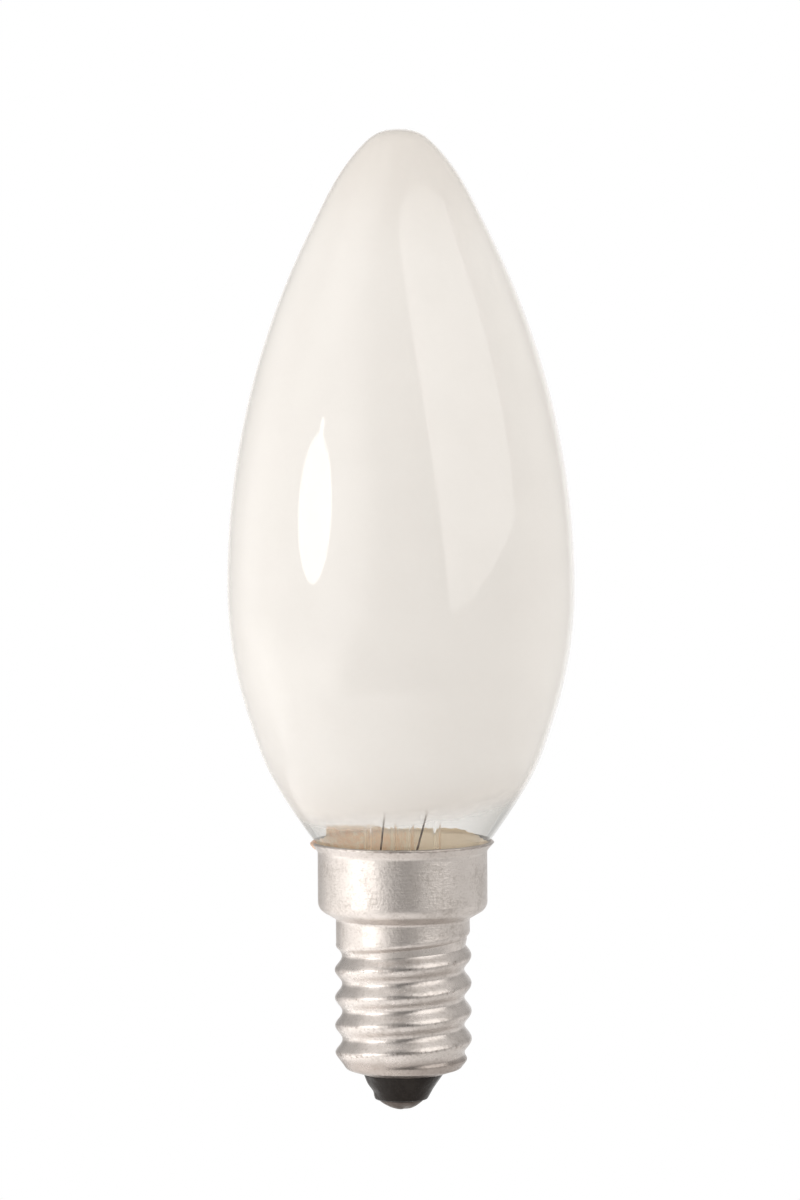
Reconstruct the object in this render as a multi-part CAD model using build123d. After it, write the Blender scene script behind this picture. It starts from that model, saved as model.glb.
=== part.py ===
from build123d import *
from math import asin, atan2, cos, degrees, pi, radians, sin, sqrt, tan
import os

# Candle bulb: a blown, flame-shaped glass on an E14 screw cap.
# The origin is the tip of the centre contact and +Z runs up the axis to the tip of the glass.
# The side lead comes up on -X, and the lead to the centre contact lies on +X.
# Lengths are in millimetres and angles in degrees.

# Glass envelope
BULB_D = 35.0
BULB_LENGTH = 99.0
BELLY_Z = 53.0
TIP_R = 5.4
GLASS_WALL = 0.7
SHOULDER_R = 4.0
NECK_DEPTH = 5.4

# Cap skirt and lip, drawn from one sheet with the screw shell
SHEET = 0.3
CAP_LENGTH = 27.2
LIP_FLARE = 0.7
LIP_BEND_R = 0.6
SKIRT_D = 17.1
SKIRT_DEPTH = 7.8
SKIRT_CORNER_R = 1.2
STEP_SLOPE = 30.0
STEP_ROOT_R = 0.4
SEAT_CLEARANCE = 0.05
CEMENT_GAP = 0.75
CEMENT_RECESS = 0.5

# Screw shell
COLLAR_D = 13.5
COLLAR_HEIGHT = 2.1
THREAD_D = 13.8
THREAD_ROOT_D = 12.1
THREAD_PITCH = 2.82
THREAD_LEAD_IN = 2.1
THREAD_FLATS = 8
BASE_D = 12.6
BASE_SLOPE = 17.0
BASE_BEND_R = 0.8
BASE_HEIGHT = 1.5
MOUTH_D = 8.1
MOUTH_Z = 3.6

# Insulator, centre contact and solder
NOSE_D = 5.2
NOSE_HEIGHT = 2.25
PLUG_HEIGHT = 3.6
PLUG_CLEARANCE = 0.15
CONTACT_D = 4.9
CONTACT_THICKNESS = 0.4
CONTACT_HOLE_D = 0.9
CONTACT_ROUND = 0.15
SOLDER_D = 4.4

# Stem, exhaust tube and support rod
STEM_D = 7.8
STEM_WALL = 0.7
FLARE_R = 2.6
FLARE_LAND = 0.6
STEM_HEIGHT = 8.7
PINCH_TAPER = 3.4
PINCH_HEIGHT = 4.6
PINCH_WIDTH = 8.6
PINCH_THICKNESS = 2.8
PINCH_ROUND = 1.2
EXHAUST_D = 2.4
EXHAUST_BORE = 1.4
EXHAUST_CLEARANCE = 3.3
ROD_D = 2.2
ROD_HEIGHT = 8.0
BUTTON_D = 3.4

# Leads
LEADOUT_D = 0.3
INNER_LEAD_D = 0.5
LEAD_SPREAD = 4.3
LEAD_SHIFT = 0.45
WELD_SINK = 4.0
LEAD_BEND_R = 0.5
SIDE_LEAN = 0.9
SIDE_DROP = 0.4
CENTRE_LEAN = 1.7
CENTRE_FORWARD = 1.8
CENTRE_RISE = 0.9
CENTRE_END = 0.5
SLOT_WIDTH = 0.5
SLOT_DEPTH = 2.0
RIM_WELD_DEPTH = 0.8
RIM_WELD_D = 1.0

# Filament and its supports
FILAMENT_Z = 60.0
FILAMENT_DROP = 3.0
FILAMENT_SPAN = 14.0
FILAMENT_TOP = 8.0
FILAMENT_D = 0.5
FILAMENT_BEND_R = 2.0
LEAD_FOOT = 2.0
LEAD_HEAD = 3.0
CLAMP_SIZE = 1.2
SUPPORT_SPAN = 5.0
SUPPORT_D = 0.2
LOOP_CLEARANCE = 0.07

# Radii and levels worked out from the sizes above
bulb_r = BULB_D / 2
skirt_r = SKIRT_D / 2
lip_r = skirt_r + LIP_FLARE
collar_r = COLLAR_D / 2
base_r = BASE_D / 2
mouth_r = MOUTH_D / 2
stem_r = STEM_D / 2
neck_r = skirt_r - SHEET - CEMENT_GAP
neck_end_z = CAP_LENGTH - NECK_DEPTH
step_z = CAP_LENGTH - SKIRT_DEPTH
collar_end_z = step_z - STEP_ROOT_R
thread_top_z = step_z - COLLAR_HEIGHT
collar_lean = degrees(atan2(THREAD_PITCH / 2, COLLAR_D))
plug_top_z = MOUTH_Z + PLUG_HEIGHT
nose_z = MOUTH_Z - NOSE_HEIGHT
contact_z = nose_z - CONTACT_THICKNESS
stem_top_z = neck_end_z + STEM_HEIGHT
pinch_z = stem_top_z + PINCH_TAPER
pinch_top_z = pinch_z + PINCH_HEIGHT
weld_z = pinch_top_z - WELD_SINK
rod_top_z = pinch_top_z + ROD_HEIGHT
side_x = LEAD_SHIFT - LEAD_SPREAD / 2
centre_x = LEAD_SHIFT + LEAD_SPREAD / 2


def belly_below(seat_r):
    """Radius of the arc from the widest circle down to a seat at the lip, and its slope there."""
    fall = BELLY_Z - CAP_LENGTH
    gain = bulb_r - seat_r
    arc_r = (gain ** 2 + fall ** 2) / (2 * gain)
    return arc_r, asin(fall / arc_r)


# The lip lies along the glass: its slope is that of the glass at the seat
_, first_slope = belly_below(lip_r - SHEET - SEAT_CLEARANCE)
lower_r, lip_slope = belly_below(lip_r - (SHEET + SEAT_CLEARANCE) / cos(first_slope))
lip_foot_z = CAP_LENGTH - (lip_r - skirt_r) / tan(lip_slope)


def ring(*lines):
    """Full turn of a closed outline drawn as (radius, height)."""
    return revolve(Plane.XZ * make_face(lines), Axis.Z)


def upright(radius, bottom, top):
    """Cylinder on the axis between two heights."""
    return Pos(0, 0, bottom) * Cylinder(radius, top - bottom, align=(Align.CENTER, Align.CENTER, Align.MIN))


def wire(diameter, points, bend_r):
    """Round wire along straight runs joined by bends."""
    path = FilletPolyline(*points, radius=bend_r) if len(points) > 2 else Line(*points)
    return sweep(Plane(path @ 0, z_dir=path % 0) * Circle(diameter / 2), path=path)


def arc(centre, radius, start, end):
    """Arc in the (radius, height) plane between two angles in radians."""
    def at(angle):
        return (centre[0] + radius * cos(angle), centre[1] + radius * sin(angle))
    return ThreePointArc(at(start), at((start + end) / 2), at(end))


def envelope_lines(inset):
    """Outline of the glass, from the neck's end to the tip, set in by a wall."""
    shoulder_x = neck_r + SHOULDER_R
    reach = shoulder_x - bulb_r + lower_r
    drop = sqrt((lower_r + SHOULDER_R) ** 2 - reach ** 2)
    turn = atan2(drop, reach)
    shoulder_z = BELLY_Z - drop
    height = BULB_LENGTH - BELLY_Z
    flank_r = (bulb_r ** 2 + height ** 2 - 2 * height * TIP_R) / (2 * (bulb_r - TIP_R))
    tip_turn = atan2(height - TIP_R, flank_r - bulb_r)
    neck = Line((neck_r - inset, neck_end_z), (neck_r - inset, shoulder_z))
    shoulder = arc((shoulder_x, shoulder_z), SHOULDER_R + inset, pi, pi - turn)
    belly = arc((bulb_r - lower_r, BELLY_Z), lower_r - inset, -turn, 0)
    flank = arc((bulb_r - flank_r, BELLY_Z), flank_r - inset, 0, tip_turn)
    tip = arc((0, BULB_LENGTH - TIP_R), TIP_R - inset, tip_turn, pi / 2)
    return [neck, shoulder, belly, flank, tip]


def glass_envelope():
    """Blown shell of even wall, open at the neck's end."""
    outer = envelope_lines(0)
    inner = envelope_lines(GLASS_WALL)
    tip_wall = Line(outer[-1] @ 1, inner[-1] @ 1)
    neck_rim = Line(outer[0] @ 0, inner[0] @ 0)
    return ring(*outer, *inner, tip_wall, neck_rim)


def glass_block():
    """The envelope's outer form, filled, to cut what lies around it."""
    outer = envelope_lines(0)
    axis_line = Polyline(outer[-1] @ 1, (0, neck_end_z), outer[0] @ 0)
    return ring(*outer, axis_line)


def skirt_ring():
    """Flared lip, skirt, sloping step and collar as one bent sheet."""
    step_rise = (skirt_r - collar_r) * tan(radians(STEP_SLOPE))
    outside = FilletPolyline(
        (lip_r, CAP_LENGTH),
        (skirt_r, lip_foot_z),
        (skirt_r, step_z + step_rise),
        (collar_r, step_z),
        (collar_r, collar_end_z),
        radius=[LIP_BEND_R, SKIRT_CORNER_R, STEP_ROOT_R],
    )
    sheet = offset(outside, SHEET, side=Side.RIGHT, closed=True)
    return ring(*sheet.edges())


def thread_ridge(inset):
    """One rolled ridge, its feet sunk in the barrel, wound right-handed from the base to the collar."""
    crest_r = THREAD_D / 2 - inset
    root_r = THREAD_ROOT_D / 2 - inset
    mean_r = (crest_r + root_r) / 2
    half_flat = pi / THREAD_FLATS
    wave = (crest_r - root_r) / 2 / cos(half_flat)
    foot = pi - half_flat
    section = [(root_r - SHEET / 2, -THREAD_PITCH * foot / (2 * pi))]
    for k in range(1, THREAD_FLATS - 1):
        phase = 2 * k * half_flat - foot
        section.append((mean_r + wave * cos(phase), THREAD_PITCH * phase / (2 * pi)))
    section.append((root_r - SHEET / 2, THREAD_PITCH * foot / (2 * pi)))
    start_z = MOUTH_Z - THREAD_LEAD_IN
    path = Helix(THREAD_PITCH, step_z - start_z, mean_r)
    ridge = sweep(Plane.XZ * make_face(Polyline(*section, close=True)), path=path, is_frenet=True)
    return Pos(0, 0, start_z) * ridge


def screw_form(inset):
    """Filled form of the screw shell: base, threaded barrel and collar, set in by the sheet."""
    slope = radians(BASE_SLOPE)
    floor_z = MOUTH_Z + inset / cos(slope)
    edge_z = floor_z + (base_r - inset - mouth_r) * tan(slope)
    bead_z = MOUTH_Z + BASE_HEIGHT
    bottom = FilletPolyline(
        (mouth_r, floor_z),
        (base_r - inset, edge_z),
        (base_r - inset, bead_z),
        radius=BASE_BEND_R - inset,
    )
    rest = Polyline(bottom @ 1, (0, bead_z), (0, floor_z), bottom @ 0)
    base = ring(*bottom.edges(), *rest.edges())

    root_r = THREAD_ROOT_D / 2 - inset
    barrel_z = bead_z - SHEET
    barrel = upright(root_r, barrel_z, collar_end_z)
    entry = Cone(root_r, root_r + CAP_LENGTH, CAP_LENGTH, align=(Align.CENTER, Align.CENTER, Align.MIN))
    entry = Pos(0, 0, barrel_z - SHEET / 2) * entry
    above = Box(4 * lip_r, 4 * lip_r, CAP_LENGTH, align=(Align.CENTER, Align.CENTER, Align.MIN))
    above = Rot(0, -collar_lean, 0) * above
    ridge = (thread_ridge(inset) & entry) - Pos(0, 0, thread_top_z - SHEET - inset) * above
    collar = upright(collar_r - inset, barrel_z, collar_end_z + 2 * inset)
    collar = collar & Pos(0, 0, thread_top_z + inset) * above
    return base + barrel + ridge + collar


def cap_shell():
    """Skirt and screw shell as one sheet, open at the lip and the mouth, slotted for the side lead."""
    mouth = upright(mouth_r, 0, MOUTH_Z + BASE_HEIGHT)
    screw = screw_form(0) - screw_form(SHEET) - mouth
    return skirt_ring() + screw - slot_block(SLOT_DEPTH)


def cap_insulator():
    """Black glass moulded into the mouth: a nose outside, and a plug on the base inside."""
    slope = tan(radians(BASE_SLOPE))
    seat_z = MOUTH_Z + SHEET / cos(radians(BASE_SLOPE))
    plug_r = THREAD_ROOT_D / 2 - SHEET - PLUG_CLEARANCE
    hole_r = CONTACT_HOLE_D / 2
    outline = Polyline(
        (hole_r, nose_z),
        (NOSE_D / 2, nose_z),
        (mouth_r, MOUTH_Z),
        (mouth_r, seat_z),
        (plug_r, seat_z + (plug_r - mouth_r) * slope),
        (plug_r, plug_top_z),
        (hole_r, plug_top_z),
        close=True,
    )
    return ring(*outline.edges())


def contact_plate():
    """Disc on the insulator's nose, pierced for the centre lead."""
    plate = upright(CONTACT_D / 2, contact_z, nose_z) - upright(CONTACT_HOLE_D / 2, contact_z, nose_z)
    rim = plate.edges().filter_by(GeomType.CIRCLE).group_by(SortBy.RADIUS)[-1].sort_by(Axis.Z)[0]
    return fillet(rim, CONTACT_ROUND)


def contact_solder(lead):
    """Dome under the plate, with a stub that fills its hole round the end of the centre lead."""
    half = SOLDER_D / 2
    dome_r = (half ** 2 + contact_z ** 2) / (2 * contact_z)
    dome = Pos(0, 0, dome_r) * Sphere(dome_r)
    dome = dome & upright(half, 0, contact_z)
    return dome + upright(CONTACT_HOLE_D / 2, contact_z, nose_z) - lead


def slot_block(depth):
    """Room cut through the lip at the side lead, down to a depth."""
    return Pos(-lip_r, 0, CAP_LENGTH) * Box(2 * (lip_r - skirt_r + 2 * SHEET), SLOT_WIDTH, 2 * depth)


def rim_weld(lead):
    """Solder that closes the lip's slot over the end of the side lead, with a bead outside."""
    middle = RIM_WELD_DEPTH / 2
    bead = Sphere(RIM_WELD_D / 2)
    bead = Pos(middle * sin(lip_slope) - lip_r, 0, CAP_LENGTH - middle * cos(lip_slope)) * bead
    flare_height = 2 * (CAP_LENGTH - lip_foot_z)
    flare = Cone(skirt_r, 2 * lip_r - skirt_r, flare_height, align=(Align.CENTER, Align.CENTER, Align.MIN))
    sheet = skirt_ring()
    return bead - Pos(0, 0, lip_foot_z) * flare - sheet + (sheet & slot_block(RIM_WELD_DEPTH)) - lead


def cap_cement(block, lead):
    """Ring that fills the room between the neck and the skirt, up to a little below the lip."""
    room_r = skirt_r - SHEET
    top_z = lip_foot_z - CEMENT_RECESS
    return upright(room_r, neck_end_z, top_z) - block - lead


def stem_flare(leads):
    """Flared tube fused to the neck's end, flattened at the top into a pinch round the leads."""
    outside = FilletPolyline(
        (stem_r, stem_top_z),
        (stem_r, neck_end_z),
        (neck_r - GLASS_WALL + FLARE_LAND, neck_end_z),
        radius=FLARE_R,
    )
    wall = offset(outside, STEM_WALL, side=Side.RIGHT, closed=True)
    tube = ring(*wall.edges())
    flat = Pos(0, 0, pinch_z) * RectangleRounded(PINCH_WIDTH, PINCH_THICKNESS, PINCH_ROUND)
    neck_in = loft([Pos(0, 0, stem_top_z) * Circle(stem_r), flat])
    return tube + neck_in + extrude(flat, PINCH_HEIGHT) - leads


def exhaust_tube():
    """Thin tube below the pinch, drawn off and closed at its lower end."""
    outer_r = EXHAUST_D / 2
    bottom_z = plug_top_z + EXHAUST_CLEARANCE
    tube = upright(outer_r, bottom_z, stem_top_z) + Pos(0, 0, bottom_z) * Sphere(outer_r)
    return tube - upright(EXHAUST_BORE / 2, bottom_z, stem_top_z)


def support_rod(supports):
    """Glass rod on the pinch, melted into a button round the feet of the supports."""
    rod = upright(ROD_D / 2, pinch_top_z, rod_top_z)
    return rod + Pos(0, 0, rod_top_z) * Sphere(BUTTON_D / 2) - supports


def leadout_side():
    """Wire from the pinch down the stem, out below the flare and up to the slot in the lip."""
    under_z = neck_end_z - STEM_WALL - SIDE_DROP
    cement_r = skirt_r - SHEET - CEMENT_GAP / 2
    sheet_r = skirt_r - SHEET / 2
    end_r = lip_r - SHEET / 2 * cos(lip_slope) - RIM_WELD_DEPTH * sin(lip_slope)
    end_z = CAP_LENGTH + SHEET / 2 * sin(lip_slope) - RIM_WELD_DEPTH * cos(lip_slope)
    foot_z = end_z - (end_r - sheet_r) / tan(lip_slope)
    points = [
        (side_x, 0, weld_z),
        (side_x, 0, stem_top_z),
        (side_x - SIDE_LEAN, 0, under_z),
        (-cement_r, 0, under_z),
        (-cement_r, 0, foot_z - SLOT_DEPTH / 2),
        (-sheet_r, 0, foot_z),
        (-end_r, 0, end_z),
    ]
    return wire(LEADOUT_D, points, LEAD_BEND_R)


def leadout_centre():
    """Wire from the pinch down past the exhaust tube and through the insulator into the solder."""
    tip_z = plug_top_z + CENTRE_RISE
    points = [
        (centre_x, 0, weld_z),
        (centre_x, 0, stem_top_z),
        (centre_x - CENTRE_LEAN, -CENTRE_FORWARD, neck_end_z),
        (centre_x - CENTRE_LEAN, -CENTRE_FORWARD, tip_z + CENTRE_FORWARD),
        (0, 0, tip_z),
        (0, 0, CENTRE_END),
    ]
    return wire(LEADOUT_D, points, LEAD_BEND_R)


def filament_path():
    half = FILAMENT_SPAN / 2
    low_z = FILAMENT_Z - FILAMENT_DROP
    corners = [(-FILAMENT_TOP / 2, 0, FILAMENT_Z), (FILAMENT_TOP / 2, 0, FILAMENT_Z)]
    return [(-half, 0, low_z), *corners, (half, 0, low_z)]


def inner_lead(foot_x, head_x, coil):
    """Stiff wire up from the pinch, its head folded round one end of the filament."""
    head_z = FILAMENT_Z - FILAMENT_DROP
    points = [
        (foot_x, 0, weld_z),
        (foot_x, 0, pinch_top_z + LEAD_FOOT),
        (head_x, 0, head_z - LEAD_HEAD),
        (head_x, 0, head_z),
    ]
    clamp = Pos(head_x, 0, head_z) * Box(CLAMP_SIZE, CLAMP_SIZE, CLAMP_SIZE)
    return wire(INNER_LEAD_D, points, 2 * INNER_LEAD_D) + clamp - coil


def filament_supports():
    """Two thin wires in the button, each with a loop round the filament."""
    loop_r = FILAMENT_D / 2 + LOOP_CLEARANCE + SUPPORT_D / 2
    supports = []
    for side in (-1, 1):
        x = side * SUPPORT_SPAN / 2
        loop = Pos(x, 0, FILAMENT_Z) * Rot(0, 90, 0) * Torus(loop_r, SUPPORT_D / 2)
        foot = (side * SUPPORT_D, 0, rod_top_z)
        stalk = wire(SUPPORT_D, [foot, (x, 0, FILAMENT_Z - loop_r)], 0)
        supports.append(stalk + loop)
    return supports


def export(name, *solids):
    """Write one piece, or a group of like pieces, as a file named after it."""
    piece = Compound(children=list(solids)) if len(solids) > 1 else solids[0]
    piece.label = name
    export_step(piece, f"parts/{name}.step")


# Wires that other pieces close round
side_wire = leadout_side()
centre_wire = leadout_centre()
coil = wire(FILAMENT_D, filament_path(), FILAMENT_BEND_R)
side_lead = inner_lead(side_x, -FILAMENT_SPAN / 2, coil)
centre_lead = inner_lead(centre_x, FILAMENT_SPAN / 2, coil)
supports = filament_supports()

os.makedirs("parts", exist_ok=True)
export("glass_envelope", glass_envelope())
export("stem_flare", stem_flare([side_wire, centre_wire, side_lead, centre_lead]))
export("exhaust_tube", exhaust_tube())
export("support_rod", support_rod(supports))
export("inner_lead_side", side_lead)
export("inner_lead_centre", centre_lead)
export("filament", coil)
export("filament_supports", *supports)
export("leadout_side", side_wire)
export("leadout_centre", centre_wire)
export("cap_shell", cap_shell())
export("rim_weld", rim_weld(side_wire))
export("cap_cement", cap_cement(glass_block(), side_wire))
export("cap_insulator", cap_insulator())
export("contact_plate", contact_plate())
export("contact_solder", contact_solder(centre_wire))
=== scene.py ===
"""Dresses a candle bulb: white coated glass on a small rolled screw cap."""
from math import atan2, cos, pi, radians, sin, sqrt, tan

import bpy
import numpy as np
from bpy.props import FloatProperty, FloatVectorProperty, PointerProperty
from mathutils import Matrix, Vector


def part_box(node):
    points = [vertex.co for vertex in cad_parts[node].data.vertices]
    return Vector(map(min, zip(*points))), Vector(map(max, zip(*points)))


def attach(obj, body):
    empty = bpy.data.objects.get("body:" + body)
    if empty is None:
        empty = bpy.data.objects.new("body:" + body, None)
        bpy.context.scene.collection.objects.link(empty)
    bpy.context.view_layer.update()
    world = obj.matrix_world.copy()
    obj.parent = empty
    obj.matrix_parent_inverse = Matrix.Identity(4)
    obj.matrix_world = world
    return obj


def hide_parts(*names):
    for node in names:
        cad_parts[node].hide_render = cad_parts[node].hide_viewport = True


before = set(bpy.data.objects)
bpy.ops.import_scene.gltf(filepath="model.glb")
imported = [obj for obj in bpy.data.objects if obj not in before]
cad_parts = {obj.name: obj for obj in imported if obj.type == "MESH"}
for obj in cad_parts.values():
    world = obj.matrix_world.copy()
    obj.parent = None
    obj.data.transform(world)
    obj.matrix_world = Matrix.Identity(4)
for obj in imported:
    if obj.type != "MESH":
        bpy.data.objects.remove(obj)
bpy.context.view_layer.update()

bl_info = {
    "name": "Candle bulb",
    "version": (1, 0, 0),
    "blender": (4, 5, 0),
    "location": "View3D > Sidebar > Candle bulb",
    "description": "Makes the glass, cap, cement and contact of a candle bulb, their finishes and a studio",
    "category": "Object",
}

MM = 0.001
ROOT = "root"
GLASS_LOW, GLASS_HIGH = (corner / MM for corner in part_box("glass_envelope"))


def length(name, description, mm):
    """A length property, its default given in millimetres."""
    return FloatProperty(name=name, description=description, default=mm * MM, precision=5, unit="LENGTH")


def angle_of(name, description, degrees):
    """An angle property, its default given in degrees."""
    return FloatProperty(name=name, description=description, default=radians(degrees), subtype="ANGLE")


def amount(name, description, default):
    """A property that is a plain number."""
    return FloatProperty(name=name, description=description, default=default, min=0.0)


def tint(name, description, default):
    """A colour property, in linear light."""
    return FloatVectorProperty(name=name, description=description, default=default, size=3, min=0.0, max=1.0,
                               subtype="COLOR")


class GlassSettings(bpy.types.PropertyGroup):
    """Sizes and colours of the glass"""
    diameter: length("Diameter", "Widest part of the glass", GLASS_HIGH.x - GLASS_LOW.x)
    top: length("Top", "Height of the tip above the centre contact", GLASS_HIGH.z)
    bottom: length("Bottom", "Height of the neck's end", GLASS_LOW.z)
    belly: length("Belly height", "Height of the widest part", 53.0)
    tip_radius: length("Tip radius", "Rounding of the tip", 5.4)
    wall: length("Wall", "Thickness of the glass", 0.7)
    neck_radius: length("Neck radius", "Outside of the neck", 7.5)
    shoulder_radius: length("Shoulder radius", "Bend from the neck to the belly", 4.0)
    lower_radius: length("Lower radius", "Arc of the glass below the belly", 42.654)
    lower_swell: length("Lower swell", "Fullness of the glass above the neck", 0.2)
    tip_length: length("Tip length", "Length of the tip that is drawn as a paraboloid", 12.0)
    tip_bend: length("Tip bend", "Bend of the paraboloid", 3.95)
    tip_flat: length("Tip flat", "Added bend where the end was fused", 3.25)
    coat_edge: length("Coat edge", "Height at which the white coat fades out, on the axis", 30.4)
    coat_fade: length("Coat fade", "Half the height over which the coat fades out", 1.6)
    coat_tilt: amount("Coat tilt", "Rise of the coat's edge towards +X", 0.1)
    coat_sag: amount("Coat sag", "Rise of the coat's edge away from the middle", 0.003)
    coat_tint: tint("Coat", "The white coat inside the glass", (0.945, 0.929, 0.908))
    coat_shade: tint("Coat shade", "The thinner places of the coat", (0.932, 0.915, 0.893))
    # The coat is darker at the tip and near the neck. This stands partly for a thinner coat and partly for
    # painted shade.
    coat_thin_and_shaded: tint("Thin coat", "The coat at the tip and where it thins out", (0.80, 0.755, 0.71))
    glass_tint: tint("Clear glass", "What the clear glass lets through", (0.925, 0.92, 0.91))
    glass_deep: tint("Slanting glass", "What it lets through where it slants", (0.71, 0.705, 0.69))


class CapSettings(bpy.types.PropertyGroup):
    """Sizes and colours of the screw cap"""
    sheet: length("Sheet", "Thickness of the cap's sheet", 0.3)
    top: length("Top", "Height of the lip's outer edge", 27.1)
    lip_foot: length("Lip foot", "Height at which the skirt flares", 26.278)
    lip_radius: length("Lip radius", "Outer edge of the flared lip", 9.25)
    skirt_radius: length("Skirt radius", "Outside of the skirt", 8.55)
    step: length("Step height", "Height at which the skirt's step meets the collar", 19.4)
    collar_radius: length("Collar radius", "Outside of the collar above the thread", 6.75)
    collar_drop: length("Collar drop", "Depth of the collar below the step, on the axis", 2.1)
    crest_radius: length("Thread crest", "Outer radius of the thread", 6.9)
    root_radius: length("Thread root", "Inner radius of the thread", 6.17)
    pitch: length("Thread pitch", "Rise of the thread in one turn", 2.82)
    crest_height: length("Crest height", "Height of a crest on +X", 1.5)
    mouth_radius: length("Mouth radius", "Hole in the cap's base", 4.05)
    mouth: length("Mouth height", "Height of the hole in the cap's base", 3.6)
    metal_tint: tint("Metal", "Satin metal of the cap", (0.61, 0.565, 0.535))
    worn_tint: tint("Worn metal", "Dull metal in the pores of the sheet", (0.45, 0.41, 0.38))
    # This colour is used for real specks, and also as painted shade on the cap's base.
    stain_and_shade_tint: tint("Stain", "Specks along the lip and the crests", (0.20, 0.155, 0.13))
    copper_tint: tint("Copper", "Solder where the side lead meets the lip", (0.95, 0.62, 0.42))


class NeckSettings(bpy.types.PropertyGroup):
    """Sizes and colours of the cement and the lead wires"""
    cement_bottom: length("Cement bottom", "Lower end of the cement", 21.8)
    cement_room: length("Cement room", "Inside of the skirt", 8.25)
    cement_front: length("Cement front", "Top of the cement where the lip hides it", 26.1)
    cement_left: length("Cement left", "Top of the squeezed cement behind, on the left", 28.2)
    cement_middle: length("Cement middle", "Top of the squeezed cement behind, in the middle", 27.55)
    cement_right: length("Cement right", "Top of the squeezed cement behind, on the right", 27.3)
    cement_bead: length("Cement bead", "Thickness of the squeezed cement on the glass", 0.3)
    cement_tint: tint("Cement", "Baked cement", (0.97, 0.70, 0.48))
    cement_pale: tint("Pale cement", "Streaks and edges of the cement", (1.0, 0.88, 0.70))
    wire: length("Wire", "Thickness of the lead wires below the stem", 0.2)
    wire_bend: length("Wire bend", "Length over which a lead wire bends", 0.8)
    wire_tint: tint("Lead wire", "Oxidised lead wires", (0.17, 0.12, 0.09))


class ContactSettings(bpy.types.PropertyGroup):
    """Sizes and colours of the insulator and the centre contact"""
    nose: length("Nose height", "Height of the insulator's lower end", 1.35)
    rim: length("Rim height", "Height of the black glass round the contact plate", 1.0)
    lean: length("Lean", "How far the nose and the contact sit off the axis, towards -X", 0.25)
    nose_radius: length("Nose radius", "Radius of the insulator's lower end", 2.62)
    plate_radius: length("Plate radius", "Radius of the contact plate", 2.25)
    plate: length("Plate height", "Height of the plate's lower face", 0.95)
    dome_radius: length("Solder radius", "Radius of the solder's rim", 2.28)
    hole_radius: length("Hole radius", "Hole for the centre lead", 0.45)
    plug_radius: length("Plug radius", "Insulator inside the cap", 5.6)
    plug_top: length("Plug top", "Top of the insulator inside the cap", 7.2)
    black_tint: tint("Black glass", "Glass of the insulator", (0.014, 0.010, 0.008))
    solder_tint: tint("Solder", "Worn solder of the centre contact", (0.085, 0.066, 0.056))
    brass_tint: tint("Brass", "Bare brass of the contact plate", (0.42, 0.31, 0.20))


class StageSettings(bpy.types.PropertyGroup):
    """Camera, lamps and floor"""
    elevation: angle_of("Elevation", "Camera above the horizon", 5.2)
    roll: angle_of("Roll", "Turn of the camera about its line of sight", 0.33)
    distance: length("Distance", "Camera to the bulb's axis", 1100.0)
    frame_height: length("Frame height", "Height of the picture at the bulb's axis", 120.7)
    aim_height: length("Aim height", "Height in the middle of the picture", 51.6)
    aim_side: length("Aim side", "Place of the middle of the picture along X", -0.1)
    lamp_distance: length("Lamp distance", "Lamp and panel from the bulb", 1300.0)
    key_light: amount("Key light", "Brightness of the round lamp on the left", 4.5)
    panel_light: amount("Panel light", "Brightness of the panel on the right", 1.75)
    table_light: amount("Table light", "Power of the lamp that lights the floor on the left", 9.0)
    ambient: amount("Ambient", "Brightness of the studio round the bulb", 0.34)
    floor_drop: length("Floor drop", "Floor below the centre contact", 120.0)
    floor_tint: tint("Floor", "Pale floor", (0.80, 0.79, 0.78))


def turn_angles(count):
    """Angles of one full turn, evenly spaced, as a row."""
    return np.linspace(0.0, 2 * pi, count, endpoint=False)[None, :]


def smooth_step(share):
    """Eases a share from nought to one: three times its square less twice its cube."""
    share = np.clip(share, 0, 1)
    return share * share * (3 - 2 * share)


def arc_points(centre, radius, start, end, count):
    """Points on an arc: the centre plus the radius times cosine and sine of angles from start to end."""
    angle = np.linspace(start, end, count)
    return np.stack([centre[0] + radius * np.cos(angle), centre[1] + radius * np.sin(angle)], 1)


def rounded_line(corners, radii, arc_count=9, run_count=2):
    """Straight runs through the corners, each inner corner cut by an arc tangent to both its runs.

    The arc's ends lie the radius divided by the tangent of half the corner's angle away from the corner.
    """
    corners = np.array(corners, float)
    pieces = [corners[:1]]
    for k, radius in enumerate(radii, 1):
        before = corners[k - 1] - corners[k]
        after = corners[k + 1] - corners[k]
        before /= np.linalg.norm(before)
        after /= np.linalg.norm(after)
        half = 0.5 * np.arccos(np.clip(before @ after, -1, 1))
        middle = before + after
        centre = corners[k] + middle / np.linalg.norm(middle) * radius / sin(half)
        reach = radius / tan(half)
        first = corners[k] + before * reach - centre
        last = corners[k] + after * reach - centre
        start = atan2(first[1], first[0])
        sweep = (atan2(last[1], last[0]) - start + pi) % (2 * pi) - pi
        arc = arc_points(centre, radius, start, start + sweep, arc_count)
        run = np.linspace(pieces[-1][-1], arc[0], run_count + 1)[1:-1]
        pieces += [run, arc]
    pieces += [np.linspace(pieces[-1][-1], corners[-1], run_count + 1)[1:]]
    return np.concatenate(pieces)


def spread(profile, step):
    """The same line with its long runs divided, so that no two points lie further apart than a step."""
    gaps = np.linalg.norm(np.diff(profile, axis=0), axis=1)
    shares = np.maximum(np.ceil(gaps / step).astype(int), 1)
    start = np.repeat(np.arange(len(shares)), shares)
    offset = np.arange(shares.sum()) - np.repeat(np.cumsum(shares) - shares, shares)
    at = np.append(start + offset / np.repeat(shares, shares), len(gaps))
    index = np.arange(len(profile))
    return np.stack([np.interp(at, index, profile[:, c]) for c in (0, 1)], 1)


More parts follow.
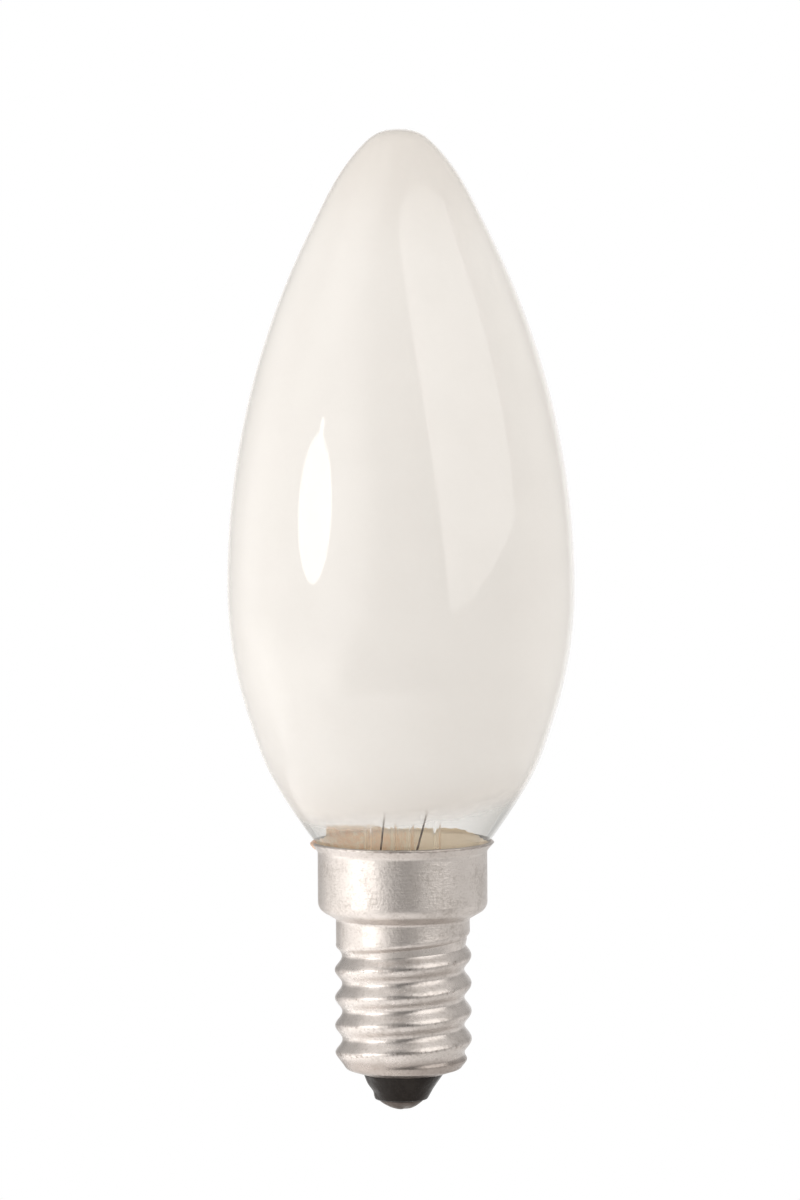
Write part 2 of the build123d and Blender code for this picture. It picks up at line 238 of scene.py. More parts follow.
def ripple(angle, height, scale, seed):
    """Gentle uneven field round the axis: a sum of sines of whole turns and of heights, within about one."""
    total = np.zeros(np.broadcast(angle, height).shape)
    for k in range(1, 6):
        turns = k + (seed * k) % 4
        total = total + np.sin(turns * angle + seed * 1.7 * k + height / scale * (0.6 + 0.37 * k)) / k
    return total / 2.3


def turned(radius, height, angle):
    """Grid of points at a radius and a height for every angle of a turn."""
    radius, height, angle = np.broadcast_arrays(radius, height, angle)
    return np.stack([radius * np.cos(angle), radius * np.sin(angle), height], -1)


def into_scene(name, data):
    """Makes an object and puts it into the scene."""
    made = bpy.data.objects.new(name, data)
    bpy.context.scene.collection.objects.link(made)
    return made


def surface(name, points, loop=False, **marks):
    """Object on a grid of points, rows by columns, its columns joined into rings.

    With loop, the last row joins the first; without, the first and last rows are poles. A mark gives one
    number per point, which is stored as a point attribute.
    """
    rows, columns = points.shape[:2]
    index = np.arange(rows * columns).reshape(rows, columns)
    if loop:
        index = np.concatenate([index, index[:1]])
    else:
        index[0] = index[0, 0]
        index[-1] = index[-1, 0]
    used = np.unique(index)
    index = np.searchsorted(used, index)
    ahead = np.roll(index, -1, axis=1)
    quads = np.stack([index[:-1], ahead[:-1], ahead[1:], index[1:]], -1)
    if loop:
        polygons = quads.reshape(-1, 4).tolist()
    else:
        polygons = quads[1:-1].reshape(-1, 4).tolist()
        polygons += quads[0][:, [0, 2, 3]].tolist() + quads[-1][:, [0, 1, 2]].tolist()
    mesh = bpy.data.meshes.new(name)
    mesh.from_pydata(points.reshape(-1, 3)[used].tolist(), [], polygons, shade_flat=False)
    for mark, values in marks.items():
        layer = mesh.attributes.new(mark, "FLOAT", "POINT")
        layer.data.foreach_set("value", np.asarray(values, np.float32).reshape(-1)[used])
    mesh.update()
    return into_scene(name, mesh)


def bent_wire(name, corners, radius, bend):
    """Round wire along straight runs through the corners, each bend eased by averaging over its length.

    A ring lies square to the line: its first axis is the line's direction crossed with Y, its second the
    line's direction crossed with the first. Both ends close on the line.
    """
    corners = np.array(corners, float)
    runs = np.linalg.norm(np.diff(corners, axis=0), axis=1)
    along = np.append(0.0, np.cumsum(runs))
    reach = 4
    step = bend / (2 * reach)
    at = np.linspace(0.0, along[-1], int(along[-1] / step))
    line = np.stack([np.interp(at, along, corners[:, c]) for c in range(3)], 1)
    padded = np.pad(line, ((reach, reach), (0, 0)), "reflect", reflect_type="odd")
    kernel = np.ones(2 * reach + 1) / (2 * reach + 1)
    line = np.stack([np.convolve(padded[:, c], kernel, "valid") for c in range(3)], 1)
    way = np.gradient(line, axis=0)
    way /= np.linalg.norm(way, axis=1, keepdims=True)
    side = np.cross(way, (0.0, 1.0, 0.0))
    side /= np.linalg.norm(side, axis=1, keepdims=True)
    over = np.cross(way, side)
    angle = turn_angles(16)[..., None]
    rings = line[:, None] + radius * (np.cos(angle) * side[:, None] + np.sin(angle) * over[:, None])
    ends = [np.repeat(line[k][None, None], angle.size, 1) for k in (0, -1)]
    return surface(name, np.concatenate([ends[0], rings, ends[1]]))


def settle(piece, material, slot, *nodes):
    """Gives a piece its finish and puts it on the bulb in place of its solids."""
    piece.data.materials.append(material)
    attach(piece, ROOT)
    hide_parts(*nodes)


def repaint(node, material):
    """Gives a solid that stays in view a new finish."""
    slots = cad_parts[node].data.materials
    slots.clear()
    slots.append(material)


class Nodes:
    """Node tree of a material or a world, with short calls for its nodes."""

    def __init__(self, owner, output):
        owner.use_nodes = True
        self.owner = owner
        self.tree = owner.node_tree
        self.tree.nodes.clear()
        self.output = self.tree.nodes.new(output)

    def put(self, socket, value):
        """Links a socket, or sets a number or a colour on it."""
        if isinstance(value, bpy.types.NodeSocket):
            self.tree.links.new(value, socket)
        elif socket.type == "RGBA" and len(value) == 3:
            socket.default_value = (*value, 1.0)
        else:
            socket.default_value = value

    def node(self, kind, *values, operation=None, **inputs):
        """Makes a node, its inputs given in their order or by name."""
        made = self.tree.nodes.new(kind)
        if operation:
            made.operation = operation
        for socket, value in zip(made.inputs, values):
            self.put(socket, value)
        for name, value in inputs.items():
            self.put(made.inputs[name], value)
        return made

    def shader(self, kind, *values, **inputs):
        return self.node(kind, *values, **inputs).outputs[0]

    def math(self, operation, *values):
        return self.node("ShaderNodeMath", *values, operation=operation).outputs[0]

    def vector(self, operation, *values, output="Vector", **inputs):
        return self.node("ShaderNodeVectorMath", *values, operation=operation, **inputs).outputs[output]

    def ramp(self, value, low, high, to_low=0.0, to_high=1.0):
        """Eases a value between two numbers into one between two others."""
        made = self.node("ShaderNodeMapRange", Value=value)
        made.interpolation_type = "SMOOTHSTEP"
        for name, number in zip(("From Min", "From Max", "To Min", "To Max"), (low, high, to_low, to_high)):
            self.put(made.inputs[name], number)
        return made.outputs["Result"]

    def mix(self, factor, first, second):
        """Mixes two shaders."""
        return self.shader("ShaderNodeMixShader", factor, first, second)

    def done(self, shader):
        self.put(self.output.inputs["Surface"], shader)
        return self.owner


class Finish(Nodes):
    """Nodes of a new material, whose places are in millimetres."""

    def __init__(self, name):
        super().__init__(bpy.data.materials.new(name), "ShaderNodeOutputMaterial")
        place = self.node("ShaderNodeTexCoord").outputs["Object"]
        self.mm = self.vector("SCALE", place, Scale=1 / MM)

    def axes(self):
        return self.node("ShaderNodeSeparateXYZ", Vector=self.mm).outputs

    def noise(self, scale, detail=3.0, rough=0.5, stretch=None):
        spot = self.mm
        if stretch:
            spot = self.vector("MULTIPLY", spot, stretch)
        made = self.node("ShaderNodeTexNoise", Vector=spot, Scale=scale, Detail=detail, Roughness=rough)
        return made.outputs["Fac"]

    def blend(self, factor, first, second):
        """Mixes two colours."""
        made = self.node("ShaderNodeMix")
        made.data_type = "RGBA"
        sockets = {s.identifier: s for s in made.inputs}
        for name, value in zip(("Factor_Float", "A_Color", "B_Color"), (factor, first, second)):
            self.put(sockets[name], value)
        return next(s for s in made.outputs if s.identifier == "Result_Color")

    def bump(self, height, strength, distance):
        made = self.node("ShaderNodeBump", Height=height, Strength=strength, Distance=distance)
        return made.outputs["Normal"]

    def attribute(self, name):
        made = self.node("ShaderNodeAttribute")
        made.attribute_name = name
        return made.outputs["Fac"]

    def principled(self, **inputs):
        named = {name.replace("_", " "): value for name, value in inputs.items()}
        return self.shader("ShaderNodeBsdfPrincipled", **named)


def coated_glass_finish(glass):
    """White inner coat under glossy glass, thinning out unevenly at the neck, and darkened at the tip and
    above the neck by painted shade.

    The gloss lies over coat and clear glass alike. It mirrors a share of 0.04 head on, plus 0.96 times the
    fifth power of the slant, and little of that on the inner wall. The coat sits on the outer wall alone.
    """
    finish = Finish("coated_glass")
    x, _, z = finish.axes()
    cloud = finish.noise(0.16, 2.0)
    edge = finish.noise(0.3, 2.0, 0.5)
    sag = finish.math("MULTIPLY_ADD", x, glass.coat_sag, glass.coat_tilt)
    level = finish.math("SUBTRACT", z, finish.math("MULTIPLY", x, sag))
    level = finish.math("MULTIPLY_ADD", finish.math("SUBTRACT", edge, 0.5), 1.2, level)
    low = (glass.coat_edge - glass.coat_fade) / MM
    high = (glass.coat_edge + glass.coat_fade) / MM
    outside = finish.math("SUBTRACT", 1.0, finish.attribute("inside"))
    coat = finish.math("MULTIPLY", finish.ramp(level, low, high), outside)

    grain = finish.noise(1.9, 3.0)
    uneven = finish.math("MULTIPLY_ADD", grain, 0.25, finish.math("MULTIPLY", cloud, 0.75))
    colour = finish.blend(finish.ramp(uneven, 0.35, 0.68), glass.coat_tint, glass.coat_shade)
    # Painted shade: the coat colour darkens towards the neck and towards the tip. It stands partly for a
    # thinner coat there and partly for shade.
    shaded_neck = finish.ramp(z, 27.0, 37.0, 0.8, 0.0)
    shaded_tip = finish.ramp(z, 85.0, 98.0, 0.0, 0.5)
    colour = finish.blend(finish.math("ADD", shaded_neck, shaded_tip), colour, glass.coat_thin_and_shaded)
    white = finish.shader("ShaderNodeBsdfDiffuse", Color=colour)
    glow = finish.shader("ShaderNodeBsdfTranslucent", Color=colour)
    white = finish.mix(0.55, white, glow)

    slant = finish.node("ShaderNodeLayerWeight", Blend=0.5).outputs["Facing"]
    clear = finish.blend(finish.ramp(slant, 0.15, 0.9), glass.glass_tint, glass.glass_deep)
    inner_wall = (0.98, 0.974, 0.966)
    clear = finish.blend(outside, inner_wall, clear)
    through = finish.shader("ShaderNodeBsdfTransparent", Color=clear)

    wave = finish.bump(finish.noise(0.07, 1.0), 0.05, 0.4 * MM)
    smooth = finish.ramp(cloud, 0.3, 0.7, 0.02, 0.05)
    gloss = finish.shader("ShaderNodeBsdfGlossy", Color=(1.0, 1.0, 1.0), Roughness=smooth, Normal=wave)
    mirror = finish.math("MULTIPLY_ADD", finish.math("POWER", slant, 5.0), 0.96, 0.04)
    mirror = finish.math("MULTIPLY", mirror, finish.math("MULTIPLY_ADD", outside, 0.85, 0.15))
    return finish.done(finish.mix(mirror, finish.mix(coat, through, white), gloss))


def clear_glass_finish():
    """Fire-polished clear glass of the stem, the tube and the rod, faintly drawn along its length."""
    finish = Finish("clear_glass")
    draw = finish.noise(1.2, 2.0, stretch=(1.0, 1.0, 0.1))
    colour = finish.blend(draw, (0.985, 0.985, 0.98), (1.0, 1.0, 1.0))
    rough = finish.ramp(draw, 0.3, 0.7, 0.02, 0.08)
    normal = finish.bump(draw, 0.15, 0.1 * MM)
    return finish.done(finish.principled(
        Base_Color=colour, Roughness=rough, IOR=1.16, Transmission_Weight=1.0, Normal=normal))


def cap_metal_finish(cap):
    """Satin drawn metal: fine pores, faint rings from rolling, a base darkened by painted shade, specks on
    the lip and crests.

    The thread is rubbed a little smoother than the skirt; the lip is coppery where the side lead meets it.
    """
    finish = Finish("cap_sheet")
    z = finish.axes()[2]
    thread_top, collar_foot = 16.8, 17.6
    pores = finish.noise(3.6, 4.0, 0.68)
    patch = finish.noise(0.45, 4.0, 0.6)
    rings = finish.noise(1.0, 3.0, 0.6, stretch=(0.35, 0.35, 6.0))
    dull = finish.math("MULTIPLY_ADD", patch, 0.55, finish.math("MULTIPLY", pores, 0.6))
    colour = finish.blend(finish.ramp(dull, 0.5, 0.8), cap.metal_tint, cap.worn_tint)
    # Painted shade: below about 6 mm the stain colour darkens the downward-facing base of the cap.
    colour = finish.blend(finish.ramp(z, 5.0, 6.0, 0.55, 0.0), colour, cap.stain_and_shade_tint)
    worn = finish.attribute("worn")
    specks = finish.math("MULTIPLY_ADD", worn, 0.34, finish.noise(2.6, 4.0, 0.68))
    colour = finish.blend(finish.ramp(specks, 0.82, 1.02, 0.0, 0.6), colour, cap.stain_and_shade_tint)

    weld = Vector((-cap.lip_radius / MM + 0.35, -0.4, cap.top / MM))
    shrink = Vector((1.5, 0.5, 2.6))
    shrunk = finish.vector("MULTIPLY", finish.mm, shrink)
    away = finish.vector("DISTANCE", shrunk, weld * shrink, output="Value")
    away = finish.math("MULTIPLY_ADD", finish.math("SUBTRACT", patch, 0.5), 0.8, away)
    colour = finish.blend(finish.ramp(away, 0.6, 1.2, 0.9, 0.0), colour, cap.copper_tint)

    rough = finish.ramp(dull, 0.35, 0.85, 0.3, 0.44)
    rough = finish.math("SUBTRACT", rough, finish.ramp(z, thread_top, collar_foot, 0.05, 0.0))
    waves = finish.noise(0.9, 3.0, 0.6, stretch=(1.0, 1.0, 0.6))
    grain = finish.math("ADD", waves, finish.math("MULTIPLY_ADD", rings, 0.6, pores))
    grain = finish.math("MULTIPLY", grain, finish.ramp(z, thread_top, collar_foot, 0.45, 1.0))
    normal = finish.bump(grain, 0.7, 0.06 * MM)
    return finish.done(finish.principled(Base_Color=colour, Metallic=1.0, Roughness=rough, Normal=normal))


def patchy_finish(name, first, second, grain, change, rough, pits=None, **inputs):
    """Two tints mixed by one noise, which also eases the roughness, over the pits of another noise.

    Given are the scale, detail, roughness and stretch of the grain; its values between which the tint
    changes; those between which the roughness is eased, and its ends; and the scale, detail, strength and
    depth of the pits.
    """
    finish = Finish(name)
    patch = finish.noise(*grain)
    colour = finish.blend(finish.ramp(patch, *change), first, second)
    if pits:
        scale, detail, strength, depth = pits
        inputs["Normal"] = finish.bump(finish.noise(scale, detail), strength, depth * MM)
    return finish.done(finish.principled(Base_Color=colour, Roughness=finish.ramp(patch, *rough), **inputs))


def copper_finish(cap):
    """Dull copper-coloured solder, greyed and pitted."""
    return patchy_finish(
        "rim_solder", cap.copper_tint, cap.worn_tint, grain=(2.2, 4.0, 0.65), change=(0.42, 0.68),
        rough=(0.3, 0.7, 0.3, 0.5), pits=(6.0, 3.0, 0.5, 0.06), Metallic=0.9)


def cement_finish(neck, lip_top):
    """Baked cement: streaks, pale crumbs, paler towards +X, and aglow where it is thin, above the lip."""
    finish = Finish("cement")
    x, _, z = finish.axes()
    lip = lip_top / MM
    streak = finish.noise(1.0, 3.0, 0.55, stretch=(1.1, 1.1, 0.1))
    crumb = finish.noise(1.9, 5.0, 0.7)
    edge = finish.attribute("edge")
    pale = finish.math("MULTIPLY_ADD", crumb, 0.75, finish.math("MULTIPLY", streak, 0.35))
    pale = finish.math("MULTIPLY_ADD", edge, 0.14, pale)
    pale = finish.math("ADD", pale, finish.ramp(x, -2.0, 5.0, 0.0, 0.22))
    colour = finish.blend(finish.ramp(pale, 0.46, 0.7), neck.cement_tint, neck.cement_pale)
    normal = finish.bump(crumb, 0.5, 0.2 * MM)
    rough = finish.ramp(crumb, 0.3, 0.7, 0.75, 0.9)
    crust = finish.principled(Base_Color=colour, Roughness=rough, Normal=normal)
    through = finish.shader("ShaderNodeBsdfTranslucent", Color=colour)
    thin = finish.ramp(z, lip - 0.1, lip + 0.3, 0.0, 0.5)
    return finish.done(finish.mix(thin, crust, through))


def black_glass_finish(contact):
    """Opaque black glass, fire polished, with a few dull streaks."""
    return patchy_finish(
        "black_glass", contact.black_tint, (0.022, 0.017, 0.014), grain=(0.8, 4.0, 0.6, (1.0, 1.0, 0.35)),
        change=(0.4, 0.75), rough=(0.35, 0.75, 0.15, 0.4), pits=(0.9, 3.0, 0.35, 0.25),
        Specular_IOR_Level=0.13)


def solder_finish(contact):
    """Worn grey-brown solder with brighter rubbed places."""
    return patchy_finish(
        "tip_solder", contact.solder_tint, contact.brass_tint, grain=(1.3, 5.0, 0.65), change=(0.6, 0.8),
        rough=(0.35, 0.7, 0.5, 0.28), pits=(3.4, 4.0, 0.5, 0.1), Metallic=0.85)


def brass_finish(contact):
    """Thin brass, rubbed bright and browned in patches."""
    return patchy_finish(
        "contact_brass", contact.brass_tint, contact.solder_tint, grain=(1.6, 4.0, 0.6), change=(0.34, 0.56),
        rough=(0.3, 0.7, 0.26, 0.5), Metallic=1.0)


def wire_finish(name, bright, dark, metallic):
    """Drawn wire, browned unevenly along its length."""
    return patchy_finish(
        name, bright, dark, grain=(1.4, 4.0, 0.6, (1.0, 1.0, 0.6)), change=(0.35, 0.7),
        rough=(0.3, 0.7, 0.35, 0.55), Metallic=metallic)


def glass_outline(glass, inset, share):
    """Radius and height of the glass from the neck's end to the tip, set in by an inset.

    A straight neck, then four arcs tangent to one another: the shoulder bends outwards, the lower arc and
    the flank meet level at the belly, and the tip closes the flank on the axis.
    """
    widest = glass.diameter / 2
    shoulder_x = glass.neck_radius + glass.shoulder_radius
    lower_x = widest - glass.lower_radius
    reach = shoulder_x - widest + glass.lower_radius
    drop = sqrt((glass.lower_radius + glass.shoulder_radius) ** 2 - reach ** 2)
    turn = atan2(drop, reach)
    shoulder_z = glass.belly - drop
    rise = glass.top - glass.belly
    flank = (widest ** 2 + rise ** 2 - 2 * rise * glass.tip_radius) / (2 * (widest - glass.tip_radius))
    tip_turn = atan2(rise - glass.tip_radius, flank - widest)
    tip_z = glass.top - glass.tip_radius
    neck_x = glass.neck_radius - inset
    counts = [int(n * share) for n in (6, 20, 56, 64, 20)]
    parts = [
        np.linspace((neck_x, glass.bottom), (neck_x, shoulder_z), counts[0]),
        arc_points((shoulder_x, shoulder_z), glass.shoulder_radius + inset, pi, pi - turn, counts[1]),
        arc_points((lower_x, glass.belly), glass.lower_radius - inset, -turn, 0, counts[2]),
        arc_points((widest - flank, glass.belly), flank - inset, 0, tip_turn, counts[3]),
        arc_points((0, tip_z), glass.tip_radius - inset, tip_turn, pi / 2, counts[4]),
    ]
    line = np.concatenate([parts[0]] + [part[1:] for part in parts[1:]])
    line[-1, 0] = 0.0
    return line


def blown_outline(glass):
    """The glass as blown: fuller above the neck by a bell curve, and drawn to a paraboloid at the tip.

    Near the tip the radius squared is twice the bend times the depth below the end; the fused end itself is
    flatter. With depth this passes smoothly into the flank's arc.
    """
    swell_height, swell_reach = 34.5 * MM, 3.2 * MM
    fused, true_tip = 0.6 * MM, 4.0 * MM
    line = glass_outline(glass, 0.0, 1.0)
    line[:, 0] += glass.lower_swell * np.exp(-((line[:, 1] - swell_height) / swell_reach) ** 2)
    low = line[line[:, 1] < glass.top - glass.tip_length]
    depth = glass.tip_length * np.linspace(1, 0, 60)[:, None] ** 2
    squared = 2 * depth * (glass.tip_bend + glass.tip_flat * np.exp(-depth / fused))
    flank = np.interp(glass.top - depth, line[:, 1], line[:, 0])
    share = smooth_step((depth - true_tip) / (glass.tip_length - true_tip))
    tip = np.sqrt(squared) + (flank - np.sqrt(squared)) * share
    return np.concatenate([low, np.concatenate([tip, glass.top - depth], 1)])


def cap_outline(cap, inset):
    """Radius and height of the cap above its thread, from the collar to the lip's edge, set in by an inset.

    Straight runs with rounded corners; a corner moves by the inset times the tangent of half its turn.
    """
    slope = radians(30)
    rise = (cap.skirt_radius - cap.collar_radius) * tan(slope)
    lip = lip_slope(cap)
    step_in = inset * tan((pi / 2 - slope) / 2)
    lip_in = inset * tan(lip / 2)
    corners = [
        (cap.collar_radius - inset, cap.step - cap.collar_drop),
        (cap.collar_radius - inset, cap.step + step_in),
        (cap.skirt_radius - inset, cap.step + rise + step_in),
        (cap.skirt_radius - inset, cap.lip_foot + lip_in),
        (cap.lip_radius - inset * cos(lip), cap.top + inset * sin(lip)),
    ]
    return rounded_line(corners, [0.4 * MM + inset, 1.2 * MM - inset, 0.6 * MM + inset])


def lip_slope(cap):
    """Angle by which the lip flares out from upright."""
    return atan2(cap.lip_radius - cap.skirt_radius, cap.top - cap.lip_foot)


def cap_sheet_grid(cap):
    """Points of the cap's sheet, and how worn each of them is.

    Outside, upwards: a cone out of the mouth, the thread, the collar, the skirt and the lip. Between root and
    crest the thread follows one half plus half the cosine of a turn per pitch of height, less the angle. A
    soft minimum, the negative log of summed exponentials, joins it to the cone, and a smooth step joins it to
    the collar along a line that climbs with it. Inside, the line is set in by the sheet, plain behind the
    thread. The wear grows with the fourth power of the crest and towards the lip's edge.
    """
    angle = turn_angles(240)
    turn_in = (5.75 * MM, 4.12 * MM)
    cone_end = (7.3 * MM, 6.1 * MM)
    base = rounded_line([(cap.mouth_radius, cap.mouth), turn_in, cone_end], [0.8 * MM], 12)
    base = spread(base, 0.1 * MM)
    upper = spread(cap_outline(cap, 0.0), 0.2 * MM)
    collar_z = upper[0, 1]
    rows, far = 112, 1.0
    barrel = np.stack([np.full(rows, far), np.linspace(base[-1, 1], collar_z, rows + 2)[1:-1]], 1)
    outer = np.concatenate([base, barrel, upper])
    height = outer[:, 1:]

    crest = 0.5 + 0.5 * np.cos(2 * pi * (height - cap.crest_height) / cap.pitch - angle)
    thread = cap.root_radius + (cap.crest_radius - cap.root_radius) * crest
    cone = np.where(np.arange(len(outer)) < len(base), outer[:, 0], far)[:, None]
    soft = 0.12 * MM
    nearer = np.exp(-(cone - cap.root_radius) / soft) + np.exp(-(thread - cap.root_radius) / soft)
    radius = cap.root_radius - soft * np.log(nearer)
    above = np.maximum(outer[:, :1] * (height >= collar_z), cap.collar_radius)
    run_out = cap.step - cap.collar_drop + cap.pitch / 4 * np.cos(angle)
    rise = smooth_step((height - run_out) / (0.9 * MM) + 0.5)
    radius = radius + (above - radius) * rise
    on_lip = (height - cap.lip_foot) / (cap.top - cap.lip_foot)
    uneven = 0.05 * MM * ripple(angle, 0 * height, 1.0, 3) * np.clip(on_lip, 0, 1)

    plain = cap.root_radius - cap.sheet
    inner = np.concatenate([
        cap_outline(cap, cap.sheet)[::-1],
        [(plain, cap.step - cap.collar_drop - cap.pitch)],
        [(plain, cap.mouth + 1.2 * MM)],
        [(cap.mouth_radius, cap.mouth + cap.sheet)],
    ])
    points = np.concatenate([
        turned(radius, height + uneven, angle),
        turned(inner[:, :1], inner[:, 1:], angle),
    ])

    on_thread = (height < collar_z) * (1 - rise)
    last_turn = 1 + 0.7 * np.clip((6.2 * MM - height) / MM, 0, 1)
    round_lip = 1.8 + 1.3 * np.cos(angle + radians(55))
    worn = crest ** 4 * on_thread * last_turn + np.clip(on_lip - 0.45, 0, 1) * round_lip
    return points, np.concatenate([worn, np.zeros((len(inner), angle.size))])


def lip_solder_grid(cap):
    """Points of the lip's solder: a lumpy ellipsoid with half lengths up the lip, round it and out of it."""
    slope = lip_slope(cap)
    across = np.linspace(0, pi, 25)[:, None]
    around = turn_angles(40)
    lump = 1 + 0.12 * ripple(around, across, 1.0, 2)
    along = 0.45 * MM * lump * np.sin(across) * np.cos(around)
    side = 0.9 * MM * lump * np.sin(across) * np.sin(around)
    out = 0.16 * MM * lump * np.cos(across)
    below = 0.4 * MM
    points = np.stack([
        -(cap.lip_radius - below * sin(slope)) - along * sin(slope) - out * cos(slope),
        -0.1 * MM + side,
        cap.top - below * cos(slope) + along * cos(slope) - out * sin(slope),
    ], -1)
    return points[::-1]


def cement_grid(neck, glass, cap):
    """Points of the cement ring, and how near each of them lies to its upper edge.

    The top runs straight between heights at given angles and is roughened by sums of sines. The inner face
    lies just inside the outer wall of the glass. The outer face fills the skirt and the lip; above the lip it
    is a film with a crumbled bead, and a square root thins it towards its edge.
    """
    angle = turn_angles(320)
    places = np.radians([0, 18, 35, 50, 100, 143, 151, 180])
    side = neck.cement_front + 0.9 * MM
    tops = [
        side, neck.cement_right - 0.3 * MM, neck.cement_right + 0.1 * MM, neck.cement_middle,
        neck.cement_middle, neck.cement_left, neck.cement_left - 0.9 * MM, side,
    ]
    squeezed = np.interp(angle, places, tops, right=neck.cement_front)
    ragged = 0.16 * ripple(3 * angle, 0.0, 1.0, 1) + 0.1 * ripple(11 * angle, 0.0, 1.0, 3)
    top = squeezed + ragged * np.clip((squeezed - neck.cement_front) / MM, 0, 1) * MM
    rows = np.linspace(0, 1, 30)[:, None]
    height = neck.cement_bottom + (top - neck.cement_bottom) * rows
    line = blown_outline(glass)
    low = line[line[:, 1] < glass.belly]
    on_glass = np.interp(height, low[:, 1], low[:, 0]) - 0.02 * MM

    flare = np.clip((height - cap.lip_foot) / (cap.top - cap.lip_foot), 0, 1)
    room = neck.cement_room + (cap.lip_radius - cap.skirt_radius) * flare - on_glass
    film = 0.03 * MM
    above_lip = np.clip((height - cap.top + 0.15 * MM) / (0.12 * MM), 0, 1)
    thick = np.maximum(room * (1 - above_lip), 0) + film
    squeezed_out = np.clip((height - cap.top - 0.1 * MM) / (0.15 * MM), 0, 1)
    crumb = 1 + 0.35 * ripple(17 * angle, height, 0.3 * MM, 2)
    thick = thick + squeezed_out * neck.cement_bead * crumb
    thick = thick * np.sqrt(np.clip((1 - rows) * 12, 0, 1)) + 0.004 * MM
    points = np.concatenate([
        turned(on_glass + thick, height, angle),
        turned(on_glass, height, angle)[::-1],
    ])
    edge = np.clip(1 - (top - height) / (0.5 * MM), 0, 1)
    return points, np.concatenate([edge, edge[::-1]])


def nose_grid(contact, cap):
    """Points of the insulator: the recess of the contact, the cone of the nose and the plug inside the cap.

    A sum of sines swells the cone, a bell-shaped dent narrows it on -X, and below the mouth it leans to -X.
    """
    angle = turn_angles(144)
    recess = contact.plate_radius + 0.05 * MM
    throat = cap.mouth_radius - 0.02 * MM
    seat = cap.mouth + cap.sheet
    corners = [
        (contact.hole_radius, contact.nose),
        (recess, contact.nose),
        (recess, contact.rim),
        (contact.nose_radius, contact.rim),
        (throat, cap.mouth - 0.05 * MM),
        (throat, seat),
        (contact.plug_radius, seat + 0.5 * MM),
        (contact.plug_radius, contact.plug_top),
        (contact.hole_radius, contact.plug_top),
    ]
    radii = np.array([0.02, 0.03, 0.3, 0.2, 0.05, 0.1, 0.3]) * MM
    line = spread(rounded_line(corners, radii, 8, 3), 0.15 * MM)
    height = line[:, 1:]
    low = np.clip((cap.mouth - height) / (cap.mouth - contact.rim), 0, 1)
    swell = np.sin(pi * low) * 0.08 * MM * ripple(angle, height, 2.0 * MM, 1)
    dent, dent_height, dent_reach, dent_turn = 0.24 * MM, 1.9 * MM, 0.5 * MM, 0.6
    bell = np.exp(-((angle - pi) / dent_turn) ** 2 - ((height - dent_height) / dent_reach) ** 2)
    outside = (line[:, :1] > contact.nose_radius - 0.03 * MM) * (height < cap.mouth)
    points = turned(line[:, :1] + (swell - dent * bell) * outside, height, angle)
    points[..., 0] -= contact.lean * np.clip((cap.mouth - height) / (1.5 * MM), 0, 1)
    return points


def plate_grid(contact):
    """Points of the contact plate: a flat ring with rounded rims, its edge dented by a sum of sines."""
    angle = turn_angles(144)
    hole = contact.hole_radius
    corners = [
        (hole, contact.plate),
        (contact.plate_radius, contact.plate),
        (contact.plate_radius, contact.nose),
        (hole, contact.nose),
    ]
    line = spread(rounded_line(corners, [0.15 * MM, 0.03 * MM]), 0.12 * MM)
    dented = 1 + 0.012 * ripple(angle, line[:, 1:], 1 * MM, 2) * (line[:, :1] > 2 * MM)
    return turned(line[:, :1] * dented, line[:, 1:], angle)


def dome_grid(contact):
    """Points of the solder: a shallow dome that hangs below the plate, and a stub up its hole.

    Its rise follows a circle, one less the root of one less the squared share of its reach. A sum of sines
    makes it uneven between its middle and its rim.
    """
    angle = turn_angles(144)
    hole = contact.hole_radius
    bulge = 0.75
    share = np.linspace(0, 1, 28)[:, None]
    rise = contact.plate * (1 - np.sqrt(1 - (bulge * share) ** 2)) / (1 - sqrt(1 - bulge ** 2))
    uneven = np.sin(pi * share) * 0.07 * MM * ripple(angle, share, 0.3, 3)
    stub = np.array([(hole, contact.plate), (hole, contact.nose), (0.0, contact.nose)])
    radius = np.concatenate([share * contact.dome_radius + 0 * angle, np.repeat(stub[:, :1], angle.size, 1)])
    height = np.concatenate([np.maximum(rise + uneven, 0.0), np.repeat(stub[:, 1:], angle.size, 1)])
    height[0] = 0.0
    return turned(radius, height, angle)


class BULB_OT_glass(bpy.types.Operator):
    """Make the glass of the bulb and finish the glass inside it"""
    bl_idname = "candle_bulb.glass"
    bl_label = "Glass"

    def execute(self, context):
        glass = context.scene.bulb_glass
        inner = glass_outline(glass, glass.wall, 0.6)[::-1]
        line = np.concatenate([inner, blown_outline(glass)])
        points = turned(line[:, :1], line[:, 1:], turn_angles(176))
        inside = np.repeat(np.arange(len(line)) < len(inner), points.shape[1])
        piece = surface("bulb_glass", points, inside=inside)
        settle(piece, coated_glass_finish(glass), "coated_glass", "glass_envelope")
        clear = clear_glass_finish()
        for node in ("stem_flare", "exhaust_tube", "support_rod"):
            repaint(node, clear)
            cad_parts[node].visible_shadow = False
            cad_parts[node].visible_diffuse = False
        return {"FINISHED"}


# Corners of the lead wires below the weld to the inner leads, in millimetres
LEAD_WIRES = {
    "leadout_side": [
        (-1.7, 0.0, 34.5), (-1.7, 0.0, 30.5), (-2.85, 0.0, 20.7), (-7.875, 0.0, 20.7),
        (-7.875, 0.0, 25.33), (-8.4, 0.0, 26.33), (-8.647, 0.0, 26.654),
    ],
    "leadout_centre": [
        (2.6, 0.0, 34.5), (2.6, 0.0, 30.5), (0.2, -1.8, 21.8), (0.2, -1.8, 9.9),
        (0.0, 0.0, 8.1), (0.0, 0.0, 0.5),
    ],
}


